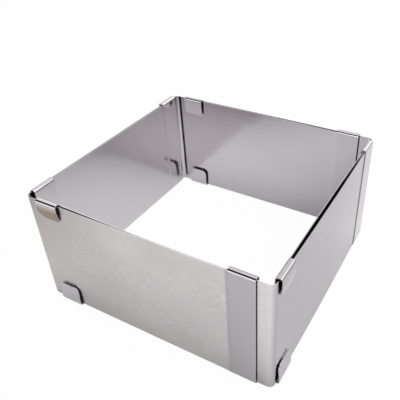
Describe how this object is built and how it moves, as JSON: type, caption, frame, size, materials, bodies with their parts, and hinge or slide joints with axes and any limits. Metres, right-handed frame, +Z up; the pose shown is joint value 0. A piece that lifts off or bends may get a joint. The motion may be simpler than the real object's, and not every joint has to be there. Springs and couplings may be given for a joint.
{
  "type": "adjustable square mousse ring",
  "caption": "Adjustable square mousse ring: steel sheets bent at the corners, with folded hooks at their ends in which the neighbouring sheets slide.",
  "frame": {"origin": "on the surface that the ring stands on, under the middle of the ring", "axes": "+Z up, +X along the front and back walls, +Y from the front wall to the back wall"},
  "size_m": [0.1706, 0.1656, 0.0819],
  "materials": {
    "steel": "satin, brushed along the walls"
  },
  "bodies": {
    "front_left_corner": {"front_left_corner": "steel"},
    "front_right_corner": {"front_right_corner": "steel"},
    "back_left_corner": {"back_left_corner": "steel"},
    "back_right_corner": {"back_right_corner": "steel"}
  },
  "joints": [
    {"name": "width_slide", "type": "slide", "parent": "front_left_corner", "child": "front_right_corner", "axis": [1, 0, 0], "range_m": [-0.0069, 0.1121]},
    {"name": "depth_slide_left", "type": "slide", "parent": "front_left_corner", "child": "back_left_corner", "axis": [0, 1, 0], "range_m": [-0.0019, 0.1171]},
    {"name": "depth_slide_right", "type": "slide", "parent": "front_right_corner", "child": "back_right_corner", "axis": [0, 1, 0], "range_m": [-0.0019, 0.1171]}
  ],
  "couplings": [
    {"joint": "depth_slide_right", "follows": "depth_slide_left", "ratio": 1}
  ]
}
